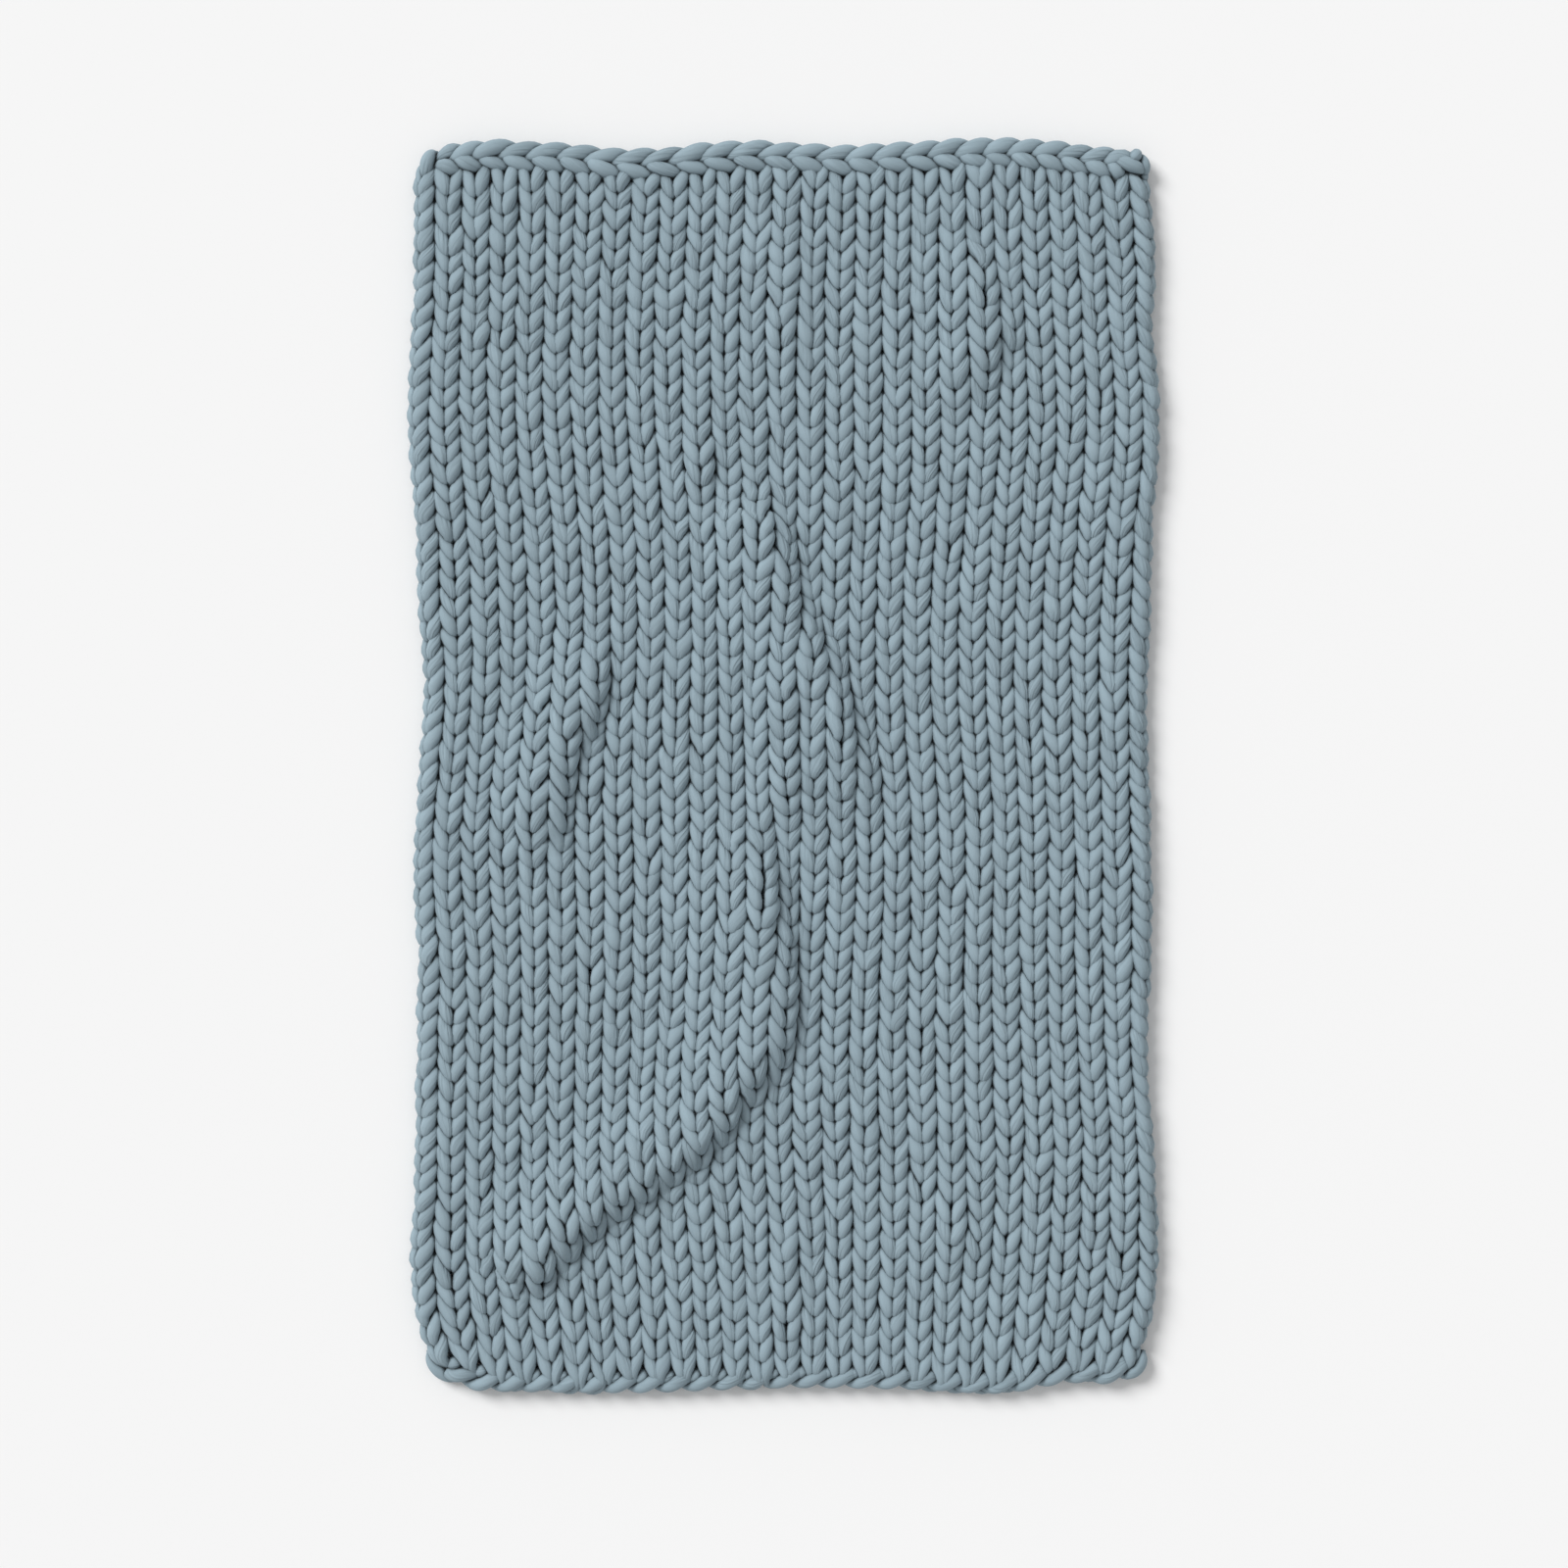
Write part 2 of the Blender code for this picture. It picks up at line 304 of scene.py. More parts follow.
def corner_inset(distance, radius):
    """How far a rounded corner draws the long edge in, near a short edge."""
    inside = np.clip(distance, 0, radius)
    return radius - np.sqrt(radius**2 - (radius - inside) ** 2)


def short_edge(table, x):
    """The outline's y at x, along the top or the bottom."""
    xs, ys = zip(*table)
    return smooth_through(xs, ys, x)


def long_edges(y):
    """Left and right x of the outline at height y, corners included."""
    ys, left, right = zip(*reversed(SIDE_EDGES))
    half = LENGTH / 2
    left = smooth_through(ys, left, y) + corner_inset(half - y, TOP_RADII[0])
    right = smooth_through(ys, right, y) - corner_inset(half - y, TOP_RADII[1])
    left = left + corner_inset(y + half, BOTTOM_RADII[0])
    right = right - corner_inset(y + half, BOTTOM_RADII[1])
    return left, right


# ---------------------------------------------------------------- folds
def crest_line(points):
    """The crest as a smooth run of closely spaced points, with their run along it."""
    points = np.array(points)
    listed = np.linspace(0, 1, len(points))
    at = np.linspace(0, 1, CREST_SAMPLES)
    x = smooth_through(listed, points[:, 0], at)
    y = smooth_through(listed, points[:, 1], at)
    steps = np.hypot(np.diff(x), np.diff(y))
    run = np.concatenate([[0], np.cumsum(steps)])
    return run, np.stack([x, y], axis=1)


def fold_height(x, y):
    """Height that the folds lift the fabric by, at each place of the sheet."""
    place = np.stack([np.ravel(x), np.ravel(y)], axis=1)
    total = np.zeros(len(place))
    for height, steep, gentle, (upper, lower), points in FOLDS.values():
        run, crest = crest_line(points)
        reach = max(steep, gentle)
        low, high = crest.min(axis=0) - reach, crest.max(axis=0) + reach
        close = np.all((place > low) & (place < high), axis=1).nonzero()[0]
        away = place[close][:, None, :] - crest[None, :, :]
        distance = np.hypot(away[:, :, 0], away[:, :, 1])
        near = distance.argmin(axis=1)
        heading = np.gradient(crest, axis=0)[near]
        offset = away[np.arange(len(close)), near]
        side = heading[:, 0] * offset[:, 1] - heading[:, 1] * offset[:, 0]
        width = np.where(side > 0, steep, gentle)
        across = np.clip(distance.min(axis=1) / width, 0, 1)
        rise = ease(run[near] / upper) * ease((run[-1] - run[near]) / lower)
        total[close] += height * rise * (1 + np.cos(np.pi * across)) / 2
    return total.reshape(np.shape(x))


# ---------------------------------------------------------------- fabric to floor plan
def even_run(fine, height, count):
    """Shares of a fine line where count + 1 stations lie evenly along the fabric."""
    run = np.hypot(np.diff(fine), np.diff(height))
    run = np.concatenate([[0], np.cumsum(run)])
    return np.interp(np.linspace(0, run[-1], count + 1), run, fine)


def plan_grid():
    """Where every wale line and course line crosses: x and y, indexed [course, wale].

    Each row and column starts evenly spread along the folded fabric, and the nodes
    then settle between their neighbours, weighted by the slope of the cloth.
    """
    share = np.linspace(0, 1, COURSES + 1)[:, None]
    flat_x = np.linspace(-WIDTH / 2, WIDTH / 2, WALES + 1)[None, :]
    to_side = WIDTH / 2 - np.abs(flat_x)
    radius = np.where(flat_x < 0, *BOTTOM_RADII)
    lift = CORNER_LIFT * (1 - ease(to_side / radius))
    low = short_edge(BOTTOM_EDGE, flat_x) + FIELD_BOTTOM + lift
    high = short_edge(TOP_EDGE, flat_x) - FIELD_TOP
    y = low + (high - low) * share
    x = np.zeros_like(y)
    for row in range(COURSES + 1):
        fade = 1 - ease(row / CORNER_COURSES)
        left = long_edges(y[row, 0])[0] + CORNER_PULL[0] * fade
        right = long_edges(y[row, -1])[1] - CORNER_PULL[1] * fade
        fine = np.linspace(left, right, 12 * WALES + 1)
        fine_y = np.interp(fine, np.linspace(left, right, WALES + 1), y[row])
        x[row] = even_run(fine, fold_height(fine, fine_y), WALES)
    settle_rounds, settle_steps = 8, 12
    for _ in range(settle_rounds):
        z = fold_height(x, y)
        spot = np.stack([x, y, z])
        across = np.diff(spot, axis=2)
        along = np.diff(spot, axis=1)
        pull_across = np.linalg.norm(across, axis=0) / np.hypot(across[0], across[1])
        pull_along = np.linalg.norm(along, axis=0) / np.hypot(along[0], along[1])
        west, east = pull_across[1:-1, :-1], pull_across[1:-1, 1:]
        south, north = pull_along[:-1, 1:-1], pull_along[1:, 1:-1]
        total = west + east + south + north
        for _ in range(settle_steps):
            for p in (x, y):
                pulled = west * p[1:-1, :-2] + east * p[1:-1, 2:]
                pulled = pulled + south * p[:-2, 1:-1] + north * p[2:, 1:-1]
                p[1:-1, 1:-1] = pulled / total
    return x, y


def cubic_weights(t):
    """Catmull-Rom weights of the four stations round a place t between two of them."""
    return np.stack([
        -0.5 * t + t**2 - 0.5 * t**3,
        1 - 2.5 * t**2 + 1.5 * t**3,
        0.5 * t + 2 * t**2 - 1.5 * t**3,
        -0.5 * t**2 + 0.5 * t**3,
    ])


def read_grid(grid, wale, course):
    """The grid's value at any wale and course, a little way past its rim included."""
    rim = np.pad(grid, 2, mode="reflect", reflect_type="odd")
    i = np.clip(np.floor(course).astype(int), -1, grid.shape[0] - 1)
    k = np.clip(np.floor(wale).astype(int), -1, grid.shape[1] - 1)
    down, over = cubic_weights(course - i), cubic_weights(wale - k)
    total = np.zeros(np.shape(wale))
    for a in range(4):
        for b in range(4):
            total += down[a] * over[b] * rim[i + a + 1, k + b + 1]
    return total


PLAN_X, PLAN_Y = plan_grid()


def rim_lie(wale):
    """Place across the shown sheet in plan wales, and the curl's drop and lean there.

    The lean is the tilt of the fabric in radians, positive towards +X.
    """
    wales_in, left, right, drop, tilt = (np.array(column) for column in zip(*RIM))
    from_right = WALES - wale
    place = wale - LEFT_HIDDEN
    near_left, near_right = wale < RIM_END, from_right < RIM_END
    place = np.where(near_left, smooth_through(wales_in, left, wale), place)
    placed_right = SHOWN_WALES - smooth_through(wales_in, right, from_right)
    place = np.where(near_right, placed_right, place)
    edge = np.minimum(wale, from_right)
    fall = smooth_through(wales_in, drop, edge)
    lean = np.radians(smooth_through(wales_in, tilt, edge))
    lean = np.where(near_left, -lean, np.where(near_right, lean, 0))
    return place * WALES / SHOWN_WALES, fall, lean


def surface_normal(x, y):
    """Which way the folded sheet faces."""
    step = NORMAL_STEP
    dx = (fold_height(x + step, y) - fold_height(x - step, y)) / (2 * step)
    dy = (fold_height(x, y + step) - fold_height(x, y - step)) / (2 * step)
    normal = np.stack([-dx, -dy, np.ones_like(dx)], axis=-1)
    return normal / np.linalg.norm(normal, axis=-1, keepdims=True)


def lay(wale, course, height):
    """Places in the room of points given in fabric coordinates, and the normals there."""
    place, fall, lean = rim_lie(wale)
    x = read_grid(PLAN_X, place, course)
    y = read_grid(PLAN_Y, place, course)
    middle = MIDDLE_HEIGHT + fold_height(x, y) - fall
    normal = surface_normal(x, y)
    cos, sin = np.cos(lean), np.sin(lean)
    normal = np.stack([
        normal[:, 0] * cos + normal[:, 2] * sin,
        normal[:, 1],
        normal[:, 2] * cos - normal[:, 0] * sin,
    ], axis=1)
    centre = np.stack([x, y, middle], axis=1)
    return centre + normal * height[:, None], normal


# ---------------------------------------------------------------- yarn
def add_waves(waves, wale, course):
    """The sum of a table's waves at each place of the fabric."""
    return sum(
        size * np.sin(course * each_course + wale * each_wale + start)
        for size, each_course, each_wale, start in waves
    )


def wander(wale, course):
    """Slow drift of the wale and course lines, in wales and courses."""
    across = add_waves(WANDER_ACROSS, wale, course)
    along = add_waves(WANDER_ALONG, wale, course)
    inner = np.clip(np.minimum(wale, WALES - wale) / WANDER_RIM, 0, 1)
    return across * inner, along


def yarn_section(turn, yarn, swell):
    """Half width and half thickness of the yarn at each point of a loop."""
    front = -np.cos(2 * turn)
    leg, back = np.clip(front, 0, 1), np.clip(-front, 0, 1)
    neck = 1 - leg - back
    wide, thick = (
        leg * yarn["leg"][k] + back * yarn["back"][k] + neck * yarn["neck"][k]
        for k in (0, 1)
    )
    return wide * (1 + swell), thick * (1 + THICK_SWELL * swell)


def course_path(course, luck):
    """One course of loops from the left edge to the right one, in fabric coordinates."""
    turn = np.arange(WALES * RINGS + 1) * (2 * np.pi / RINGS)
    leg = np.clip((turn / np.pi).astype(int), 0, 2 * WALES - 1)
    stitch = leg // 2
    share = np.sin(turn) ** 2  # 1 at the middle of a leg, 0 at the loop's head and foot
    lean = NECK_PINCH + luck["lean"][course, stitch] * share
    reach = LOOP_REACH + luck["reach"][course, stitch] * share
    wale = turn / (2 * np.pi) + lean * np.sin(2 * turn)
    wale = wale + luck["across"][course, leg] * share
    up = course + 0.5 - reach * np.cos(turn) + luck["along"][course, leg] * share
    height = -LOOP_DEPTH * np.cos(2 * turn) - LEG_FLAT * np.cos(4 * turn)
    height = height + LEG_TIP * np.cos(turn) * share
    height = height + luck["height"][course, leg] * share
    drift_across, drift_along = wander(wale, up)
    wide, thick = yarn_section(turn, FIELD_YARN, luck["width"][course, leg] * share)
    return np.stack([wale + drift_across, up + drift_along, height, wide, thick], axis=1)


def turn_path(before, after):
    """The yarn's turn from the end of one course to the start of the next."""
    t = np.linspace(0, 1, TURN_RINGS + 2)[1:-1, None]
    path = before + (after - before) * t
    path[:, 2] += TURN_OUT * np.sin(np.pi * t[:, 0])
    return path


def draw_luck():
    """The seeded differences between stitches."""
    rng = np.random.default_rng(SEED)
    legs, stitches = (COURSES, 2 * WALES), (COURSES, WALES)
    luck = {
        "width": rng.normal(0, VARY["width"], legs),
        "across": rng.normal(0, VARY["across"], legs),
        "along": rng.normal(0, VARY["along"], legs),
        "height": rng.normal(0, VARY["height"], legs),
        "lean": rng.normal(0, VARY["lean"], stitches),
        "reach": rng.normal(0, VARY["reach"], stitches),
    }
    luck["width"] += FAT_BY * (rng.random(legs) < FAT_LEGS)
    return luck


def band_path(first, last, luck):
    """The yarn through courses first to last - 1, turning at alternate edges."""
    runs = []
    for course in range(first, last):
        run = course_path(course, luck)
        if course % 2:
            run = run[::-1]
        if runs:
            runs.append(turn_path(runs[-1][-1], run[0]))
        runs.append(run)
    return np.concatenate(runs)


def field_strand(first, last, luck):
    """The yarn of one band: its places, normals, half widths and half thicknesses."""
    path = band_path(first, last, luck)
    centres, normals = lay(path[:, 0], path[:, 1], path[:, 2])
    return centres, normals, path[:, 3], path[:, 4]


# ---------------------------------------------------------------- finished edges
def rounded_edge(x, inset, at_top):
    """The y of a line that runs inset inside a short edge and round its corners."""
    table, radii = (TOP_EDGE, TOP_RADII) if at_top else (BOTTOM_EDGE, BOTTOM_RADII)
    beside_corners = LENGTH / 2 - max(radii)
    left, right = long_edges(beside_corners if at_top else -beside_corners)
    bend = corner_inset(x - left - inset, radii[0] - inset)
    bend = bend + corner_inset(right - inset - x, radii[1] - inset)
    if at_top:
        return short_edge(table, x) - inset - bend
    return short_edge(table, x) + inset + bend


def chain_strand():
    """The bind-off: a chain of loops along the top edge, from left to right."""
    rng = np.random.default_rng(SEED + 1)
    legs = 2 * LINKS
    turn = np.arange(CHAIN_START, LINKS * CHAIN_RINGS + 1) * (2 * np.pi / CHAIN_RINGS)
    leg = np.clip((turn / np.pi).astype(int), 0, legs - 1)
    share = np.sin(turn) ** 2
    onwards = turn + CHAIN_STEP[0] * np.sin(turn) + CHAIN_STEP[1] * np.sin(2 * turn)
    link = onwards / (2 * np.pi) - CHAIN_REACH * np.cos(turn)
    link = link + rng.normal(0, CHAIN_VARY["along"], legs)[leg] * share
    along = smooth_through(*zip(*LINK_PLACES), link)
    across = CHAIN_SPREAD * np.sin(turn) * (1 - CHAIN_SPLAY * np.cos(turn))
    across = across + rng.normal(0, CHAIN_VARY["across"], legs)[leg] * share
    height = CHAIN_MIDDLE - CHAIN_DEPTH * np.cos(2 * turn)
    height = height + CHAIN_TIP * np.cos(turn) * share
    height = height + rng.normal(0, CHAIN_VARY["height"], legs)[leg] * share
    swell = rng.normal(0, CHAIN_VARY["width"], legs)[leg] * share
    rings, slim, drop = CHAIN_TUCK
    tucked = 1 - ease(np.arange(len(turn)) / rings)
    full = 1 - (1 - slim) * tucked
    height = height - drop * tucked
    y = rounded_edge(along, CHAIN_INSET, True)
    step = 0.003
    ahead = rounded_edge(along + step, CHAIN_INSET, True)
    behind = rounded_edge(along - step, CHAIN_INSET, True)
    slope = np.arctan2(ahead - behind, 2 * step)
    x = along - across * np.sin(slope)
    y = y + across * np.cos(slope)
    centres = np.stack([x, y, height + fold_height(x, y)], axis=1)
    wide, thick = yarn_section(turn, CHAIN_YARN, swell)
    return centres, surface_normal(x, y), wide * full, thick * full


def rope_strand(start_angle):
    """One of the two strands of the cast-on rope along the bottom edge."""
    left, right = ROPE_ENDS
    count = int((right - left) / ROPE_PITCH * ROPE_RINGS)
    along = np.linspace(left, right, count)
    angle = start_angle - 2 * np.pi * (along - left) / ROPE_PITCH
    y = rounded_edge(along, ROPE_INSET, False)
    y = y + ROPE_RADIUS * np.cos(angle)
    height = ROPE_MIDDLE + ROPE_RADIUS * np.sin(angle)
    centres = np.stack([along, y, height + fold_height(along, y)], axis=1)
    ups = np.tile([0.0, 0.0, 1.0], (count, 1))
    wide, thick = np.full(count, ROPE_YARN[0]), np.full(count, ROPE_YARN[1])
    return centres, ups, wide, thick


def feet_strand():
    """The feet of the first course, which show above the rope between its loops."""
    wale = np.linspace(FEET_FROM, WALES - FEET_FROM, (WALES - 1) * FEET_RINGS)
    turn = 2 * np.pi * wale
    course = FEET_COURSE[0] + FEET_COURSE[1] * np.sin(turn)
    height = FEET_HEIGHT[0] + FEET_HEIGHT[1] * np.cos(turn)
    centres, normals = lay(wale, course, height)
    wide = FEET_YARN[0] + FEET_YARN[1] * np.cos(turn)
    return centres, normals, wide, wide * FEET_FLAT


BLUNT_END = 0.04  # share of a short strand, at either end, that slims no further
SHORT_FLAT = 0.9  # thickness of a short strand as a share of its width


def short_strand(points, half_width):
    """A short piece of yarn through a few places, slimmer towards its ends."""
    points = np.array(points)
    steps = np.linalg.norm(np.diff(points, axis=0), axis=1)
    run = np.concatenate([[0], np.cumsum(steps)])
    rings = 4 * len(points) + 8
    at = np.linspace(0, run[-1], rings)
    centres = np.stack([smooth_through(run, points[:, k], at) for k in range(3)], axis=1)
    share = np.sin(np.pi * np.clip(at / run[-1], BLUNT_END, 1 - BLUNT_END)) ** 0.5
    ups = np.tile([0.0, 0.0, 1.0], (rings, 1))
    return centres, ups, half_width * share, half_width * SHORT_FLAT * share


# Where the yarn goes at the four corners, in the room.
CORNER_STRANDS = {
    # what it is: (half width, places (x, y, z))
    "up to the chain": (0.0100, [
        (-0.502, 0.822, 0.012), (-0.500, 0.833, 0.024), (-0.499, 0.845, 0.028),
        (-0.495, 0.856, 0.024), (-0.486, 0.862, 0.012),
    ]),
    "left selvedge": (0.0078, [
        (-0.499, 0.850, 0.010), (-0.508, 0.838, 0.015), (-0.5075, 0.820, 0.017),
        (-0.503, 0.803, 0.015), (-0.498, 0.790, 0.008),
    ]),
    "closing loop": (0.0088, [
        (0.486, 0.844, 0.018), (0.490, 0.849, 0.028), (0.495, 0.855, 0.030),
        (0.498, 0.859, 0.022), (0.500, 0.859, 0.010),
    ]),
    "last link": (0.0104, [
        (0.461, 0.849, 0.018), (0.472, 0.848, 0.029), (0.487, 0.843, 0.031),
        (0.500, 0.838, 0.027), (0.509, 0.835, 0.016),
    ]),
    "knot": (0.0076, [
        (0.500, 0.858, 0.014), (0.506, 0.851, 0.023), (0.509, 0.842, 0.024),
        (0.508, 0.833, 0.016), (0.503, 0.828, 0.008),
    ]),
    "knot end": (0.0068, [
        (0.505, 0.837, 0.010), (0.508, 0.829, 0.016), (0.507, 0.820, 0.012),
    ]),
    "first foot": (0.0090, [
        (-0.458, -0.866, 0.010), (-0.471, -0.861, 0.014), (-0.485, -0.851, 0.015),
        (-0.495, -0.838, 0.012), (-0.499, -0.824, 0.008),
    ]),
    "last foot": (0.0100, [
        (0.478, -0.861, 0.010), (0.487, -0.856, 0.017), (0.497, -0.849, 0.018),
        (0.504, -0.839, 0.017), (0.508, -0.824, 0.010),
    ]),
}


# ---------------------------------------------------------------- meshes
def tube_points(centres, ups, half_width, half_thick):
    """Rings of points round the yarn, indexed [ring, side]."""
    tangent = np.gradient(centres, axis=0)
    tangent /= np.linalg.norm(tangent, axis=1, keepdims=True)
    side = np.cross(tangent, ups)
    side /= np.linalg.norm(side, axis=1, keepdims=True)
    lift = np.cross(side, tangent)
    angle = np.arange(SIDES) * (2 * np.pi / SIDES)
    wide = half_width[:, None] * np.cos(angle)
    thick = half_thick[:, None] * np.sin(angle)
    points = centres[:, None, :] + side[:, None, :] * wide[:, :, None]
    points = points + lift[:, None, :] * thick[:, :, None]
    points[:, :, 2] = np.maximum(points[:, :, 2], 0)  # flat where it meets the floor
    return points


YARN_ROUND = 0.058  # length once round the yarn
STRIP_GAP = 0.05  # share of a strip left free on either side of it


def strip_layout(segments, run, caps):
    """Texture places: the unrolled yarn cut into strips, and its end caps above them."""
    rows = max(1, round(math.sqrt(run / YARN_ROUND)))
    in_row = -(-segments // rows)
    segment = np.arange(segments)
    row, column = segment // in_row, segment % in_row
    u = (column[:, None, None] + np.array([0, 0, 1, 1])) / in_row
    side = np.arange(SIDES)[:, None] + np.array([0, 1, 1, 0])
    v = row[:, None, None] + STRIP_GAP + (1 - 2 * STRIP_GAP) * side[None, :, :] / SIDES
    u = np.broadcast_to(u, v.shape)
    tubes = np.stack([u, v / (rows + 1)], axis=-1).reshape(-1, 2)
    angle = np.arange(SIDES) * (2 * np.pi / SIDES)
    size = 0.4 * min(1 / (rows + 1), 1 / caps)
    cap_u = (np.arange(caps)[:, None] + 0.5) / caps + size * np.cos(angle)
    cap_v = (rows + 0.5) / (rows + 1) + size * np.sin(angle)
    cap_v = np.broadcast_to(cap_v, cap_u.shape)
    return np.concatenate([tubes, np.stack([cap_u, cap_v], axis=-1).reshape(-1, 2)])


def make_piece(name, strands, material, start_run=0.0, replaces=False):
    """One mesh of closed tubes of yarn, dressed and riding with the blanket."""
    points, yarn, quads, caps = [], [], [], []
    offset, run = 0, start_run
    angle = np.arange(SIDES) * (2 * np.pi / SIDES)
    for centres, ups, half_width, half_thick in strands:
        count = len(centres)
        rings = tube_points(centres, ups, half_width, half_thick)
        points.append(rings.reshape(-1, 3))
        steps = np.linalg.norm(np.diff(centres, axis=0), axis=1)
        along = run + np.concatenate([[0], np.cumsum(steps)])
        run = along[-1]
        place = np.zeros((count, SIDES, 3))
        place[:, :, 0] = along[:, None]
        place[:, :, 1] = FIELD_YARN["leg"][0] * np.cos(angle)
        place[:, :, 2] = FIELD_YARN["leg"][0] * np.sin(angle)
        yarn.append(place.reshape(-1, 3))
        ring = offset + np.arange(count - 1)[:, None] * SIDES
        here = ring + np.arange(SIDES)[None, :]
        beside = ring + (np.arange(SIDES)[None, :] + 1) % SIDES
        quads.append(np.stack([here, beside, beside + SIDES, here + SIDES], axis=-1).ravel())
        caps.append(offset + np.arange(SIDES)[::-1])
        caps.append(offset + (count - 1) * SIDES + np.arange(SIDES))
        offset += count * SIDES
    quads = np.concatenate(quads)
    loops = np.concatenate([quads, *caps]).astype(np.int32)
    starts = np.arange(0, len(quads), 4)
    starts = np.append(starts, len(quads) + SIDES * np.arange(len(caps))).astype(np.int32)
    mesh = bpy.data.meshes.new(name)
    mesh.vertices.add(offset)
    mesh.vertices.foreach_set("co", np.concatenate(points).astype(np.float32).ravel())
    mesh.loops.add(len(loops))
    mesh.loops.foreach_set("vertex_index", loops)
    mesh.polygons.add(len(starts))
    mesh.polygons.foreach_set("loop_start", starts)
    mesh.update(calc_edges=True)
    # the run along the yarn and the place round it
    layer = mesh.attributes.new("yarn", "FLOAT_VECTOR", "POINT")
    layer.data.foreach_set("vector", np.concatenate(yarn).astype(np.float32).ravel())
    segments = len(quads) // (4 * SIDES)
    places = strip_layout(segments, run - start_run, len(caps))
    unrolled = mesh.uv_layers.new(name="OFBake")
    unrolled.uv.foreach_set("vector", places.astype(np.float32).ravel())
    mesh.shade_smooth()
    mesh.materials.append(material)
    piece = bpy.data.objects.new(name, mesh)
    bpy.context.scene.collection.objects.link(piece)
    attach(piece, "root")
    if replaces:
        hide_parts(NODE)
    return run


# ---------------------------------------------------------------- materials
BASE_COLOUR = (0.264, 0.346, 0.394)
PAINTED_SEAM_REACH = 0.0065  # how near another yarn must come for the painted shade to darken the seam between the two
PAINTED_SEAM_SHADE = 0.15  # how much of the colour the painted seam shade leaves deep in a seam
TWIST = 24.0  # radians that the jersey turns round in a metre of yarn
GRAIN = {
    # what the noise makes: (grains in a metre along the yarn, and both ways across it)
    "creases": (16, 130, 130),
    "creased legs": (9, 30, 30),
    "swelling": (30, 110, 110),
    "streaks": (90, 900, 900),
    "dye": (6, 25, 25),
}
CREASE_WIDTH = 0.16  # how far from the noise's middle a crease reaches
CREASED_FROM = 0.42
CREASED_FULLY = 0.62
PAINTED_CREASE_SHADE = 0.90  # how much of the colour the painted shade leaves down in a crease
SWELLING_WEIGHT = 0.6
CREASE_WEIGHT = 0.45
STREAK_WEIGHT = 0.12
BUMP_STRENGTH = 0.7
BUMP_HEIGHT = 0.0022
DYE_SHADES = (0.94, 1.06)  # darkest and lightest, as shares of the colour
PAINTED_SEAM_OPEN = (0.42, 0.93)  # open share of the surroundings, in a seam and away from it, for the painted seam shade
PAINTED_SEAM_SAMPLES = 4


def add_math(tree, operation, first, second):
    """A math node; either input may be a socket or a number."""
    node = tree.nodes.new("ShaderNodeMath")
    node.operation = operation
    for socket, value in zip(node.inputs, (first, second)):
        if isinstance(value, (int, float)):
            socket.default_value = value
        else:
            tree.links.new(value, socket)
    return node.outputs[0]


def add_ramp(tree, value, low, high, to_low=0.0, to_high=1.0):
    """Maps the value's run from low to high onto another, held at its ends."""
    node = tree.nodes.new("ShaderNodeMapRange")
    node.interpolation_type = "SMOOTHSTEP"
    tree.links.new(value, node.inputs["Value"])
    for name, bound in (
        ("From Min", low), ("From Max", high), ("To Min", to_low), ("To Max", to_high),
    ):
        node.inputs[name].default_value = bound
    return node.outputs["Result"]


def add_noise(tree, place, stretch, detail):
    """Noise whose grain is stretched: the scales are along and across the yarn."""
    scaled = tree.nodes.new("ShaderNodeMapping")
    scaled.inputs["Scale"].default_value = stretch
    tree.links.new(place, scaled.inputs["Vector"])
    noise = tree.nodes.new("ShaderNodeTexNoise")
    noise.inputs["Scale"].default_value = 1.0
    noise.inputs["Detail"].default_value = detail
    tree.links.new(scaled.outputs["Vector"], noise.inputs["Vector"])
    return noise.outputs[0]


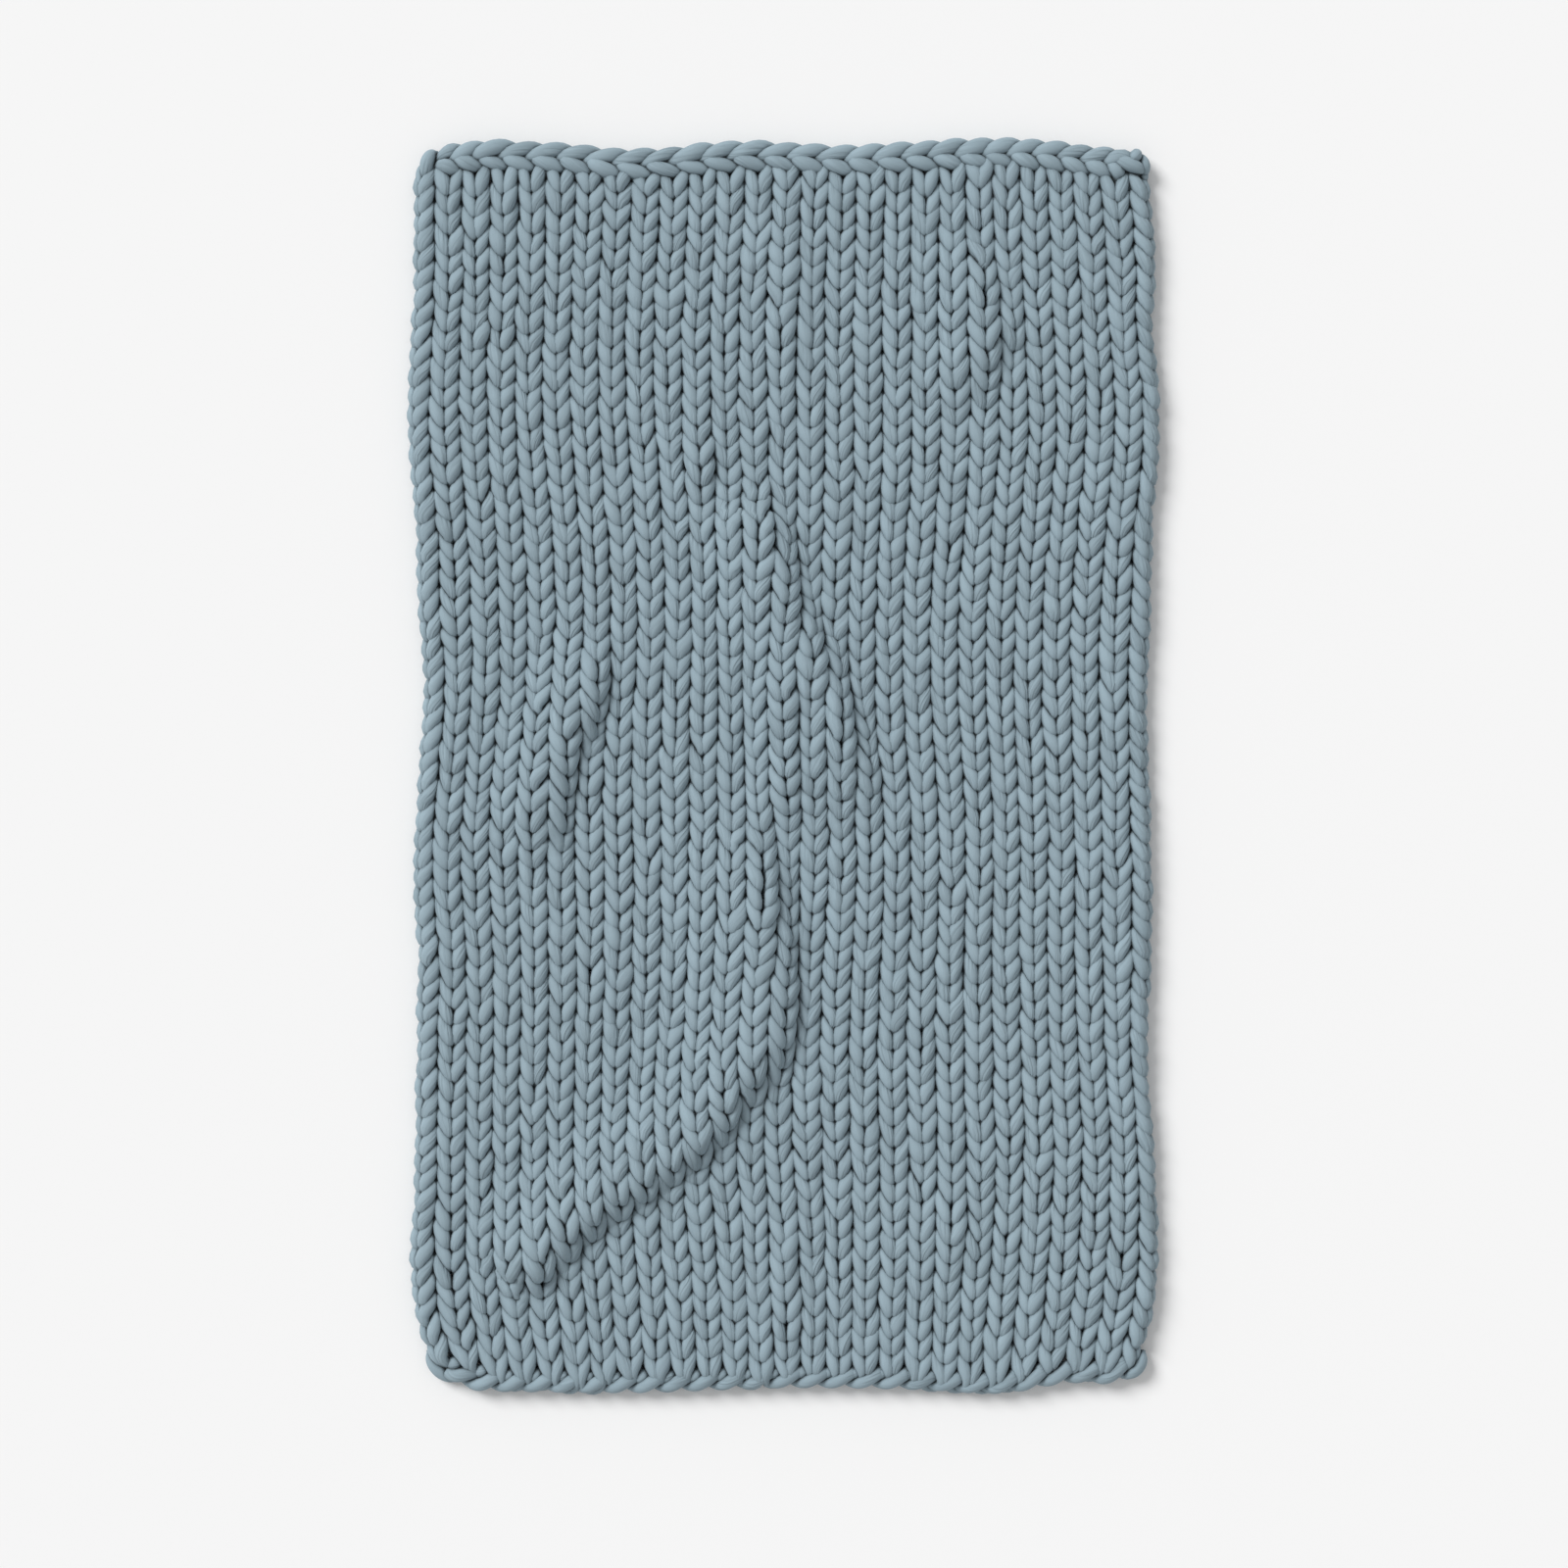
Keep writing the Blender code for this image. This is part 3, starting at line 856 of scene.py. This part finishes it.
def yarn_material():
    """Dusty-blue cotton jersey: matte, fuzzy, wrinkled along the yarn as it twists."""
    material = bpy.data.materials.new("jersey_yarn_blue")
    material.use_nodes = True
    tree = material.node_tree
    shader = tree.nodes["Principled BSDF"]
    shader.inputs["Roughness"].default_value = 0.88
    shader.inputs["Specular IOR Level"].default_value = 0.2
    shader.inputs["Sheen Weight"].default_value = 0.15
    shader.inputs["Sheen Roughness"].default_value = 0.5
    shader.inputs["Sheen Tint"].default_value = (0.75, 0.88, 0.95, 1)
    yarn = tree.nodes.new("ShaderNodeAttribute")
    yarn.attribute_name = "yarn"
    parts = tree.nodes.new("ShaderNodeSeparateXYZ")
    tree.links.new(yarn.outputs["Vector"], parts.inputs["Vector"])
    spin = tree.nodes.new("ShaderNodeVectorRotate")
    spin.rotation_type = "X_AXIS"
    tree.links.new(yarn.outputs["Vector"], spin.inputs["Vector"])
    tree.links.new(add_math(tree, "MULTIPLY", parts.outputs["X"], TWIST), spin.inputs["Angle"])
    place = spin.outputs["Vector"]
    # creases run where the stretched noise crosses its middle, on some legs only
    creases = add_noise(tree, place, GRAIN["creases"], 1.0)
    from_middle = add_math(tree, "ABSOLUTE", add_math(tree, "SUBTRACT", creases, 0.5), 0.0)
    groove = add_ramp(tree, from_middle, 0.0, CREASE_WIDTH)
    creased = add_noise(tree, place, GRAIN["creased legs"], 1.0)
    creased = add_ramp(tree, creased, CREASED_FROM, CREASED_FULLY)
    smooth = add_math(tree, "SUBTRACT", 1.0, creased)
    groove = add_math(tree, "MAXIMUM", groove, smooth)
    swelling = add_noise(tree, place, GRAIN["swelling"], 2.0)
    streaks = add_noise(tree, place, GRAIN["streaks"], 2.0)
    height = add_math(tree, "MULTIPLY", swelling, SWELLING_WEIGHT)
    height = add_math(tree, "ADD", height, add_math(tree, "MULTIPLY", groove, CREASE_WEIGHT))
    height = add_math(tree, "ADD", height, add_math(tree, "MULTIPLY", streaks, STREAK_WEIGHT))
    bump = tree.nodes.new("ShaderNodeBump")
    bump.inputs["Strength"].default_value = BUMP_STRENGTH
    bump.inputs["Distance"].default_value = BUMP_HEIGHT
    tree.links.new(height, bump.inputs["Height"])
    tree.links.new(bump.outputs["Normal"], shader.inputs["Normal"])
    # the dye is a little uneven, and painted shade darkens the colour down the creases
    dye = add_noise(tree, place, GRAIN["dye"], 2.0)
    shade = add_ramp(tree, dye, 0.3, 0.7, *DYE_SHADES)
    crease_shade_factor = add_ramp(tree, groove, 0.0, 1.0, PAINTED_CREASE_SHADE, 1.0)
    shade = add_math(tree, "MULTIPLY", shade, crease_shade_factor)
    # painted shade darkens the colour where one yarn presses on another, in the seams
    seam = tree.nodes.new("ShaderNodeAmbientOcclusion")
    seam.samples = PAINTED_SEAM_SAMPLES
    seam.inputs["Distance"].default_value = PAINTED_SEAM_REACH
    seam_shade_factor = add_ramp(tree, seam.outputs["AO"], *PAINTED_SEAM_OPEN, PAINTED_SEAM_SHADE, 1.0)
    shade = add_math(tree, "MULTIPLY", shade, seam_shade_factor)
    tint = tree.nodes.new("ShaderNodeVectorMath")
    tint.operation = "SCALE"
    tint.inputs[0].default_value = BASE_COLOUR
    tree.links.new(shade, tint.inputs["Scale"])
    tree.links.new(tint.outputs["Vector"], shader.inputs["Base Color"])
    return material


FLOOR_SHADE = 0.86


def floor_material():
    """Plain pale matte ground."""
    material = bpy.data.materials.new("studio_floor")
    material.use_nodes = True
    shader = material.node_tree.nodes["Principled BSDF"]
    shader.inputs["Base Color"].default_value = (FLOOR_SHADE, FLOOR_SHADE, FLOOR_SHADE, 1)
    shader.inputs["Roughness"].default_value = 0.9
    return material


# ---------------------------------------------------------------- scene
def make_blanket():
    """The whole dressing: the bands of the field, then the edges and corners."""
    material = yarn_material()
    luck = draw_luck()
    edges = [round(COURSES * i / BANDS) for i in range(BANDS + 1)]
    run = 0.0
    for band, (first, last) in enumerate(zip(edges, edges[1:])):
        strand = field_strand(first, last, luck)
        run = make_piece(f"knit_courses_{band + 1}", [strand], material, run, replaces=True)
    run = make_piece("bind_off_chain", [chain_strand()], material, run)
    rope = [rope_strand(0.0), rope_strand(np.pi), feet_strand()]
    run = make_piece("cast_on_rope", rope, material, run)
    corners = [short_strand(points, half) for half, points in CORNER_STRANDS.values()]
    make_piece("corner_strands", corners, material, run)


def make_floor():
    """The ground, which only the scene has."""
    bpy.ops.mesh.primitive_plane_add(size=30)
    floor = bpy.context.object
    floor.name = "studio_floor"
    floor.data.materials.append(floor_material())


PHOTO_SPAN = 2.213  # width of the floor that the picture takes in
VIEW_CENTRE = (0.002, -0.0263)  # the floor's point in the middle of the picture
CAMERA_HEIGHT = 5.0
SUN_WAY = (1.15, -1.0, -1.3)  # which way the key light shines
SUN_STRENGTH = 2.6
SUN_BREADTH = 28  # degrees
SKY_STRENGTH = 0.53


def make_camera():
    """Straight above, as in the photo."""
    data = bpy.data.cameras.new("camera")
    data.sensor_width = 36
    data.lens = data.sensor_width * CAMERA_HEIGHT / PHOTO_SPAN
    camera = bpy.data.objects.new("camera", data)
    camera.location = (*VIEW_CENTRE, CAMERA_HEIGHT)
    bpy.context.scene.collection.objects.link(camera)
    bpy.context.scene.camera = camera


def make_lights():
    """One broad soft light from the upper left, and an even white sky."""
    data = bpy.data.lights.new("key", "SUN")
    data.energy = SUN_STRENGTH
    data.angle = math.radians(SUN_BREADTH)
    key = bpy.data.objects.new("key", data)
    key.rotation_euler = Vector(SUN_WAY).to_track_quat("-Z", "Y").to_euler()
    bpy.context.scene.collection.objects.link(key)
    world = bpy.data.worlds.new("studio")
    world.use_nodes = True
    sky = world.node_tree.nodes["Background"]
    sky.inputs["Color"].default_value = (1, 1, 1, 1)
    sky.inputs["Strength"].default_value = SKY_STRENGTH
    bpy.context.scene.world = world
    bpy.context.scene.view_settings.view_transform = "Standard"


make_blanket()
make_floor()
make_camera()
make_lights()
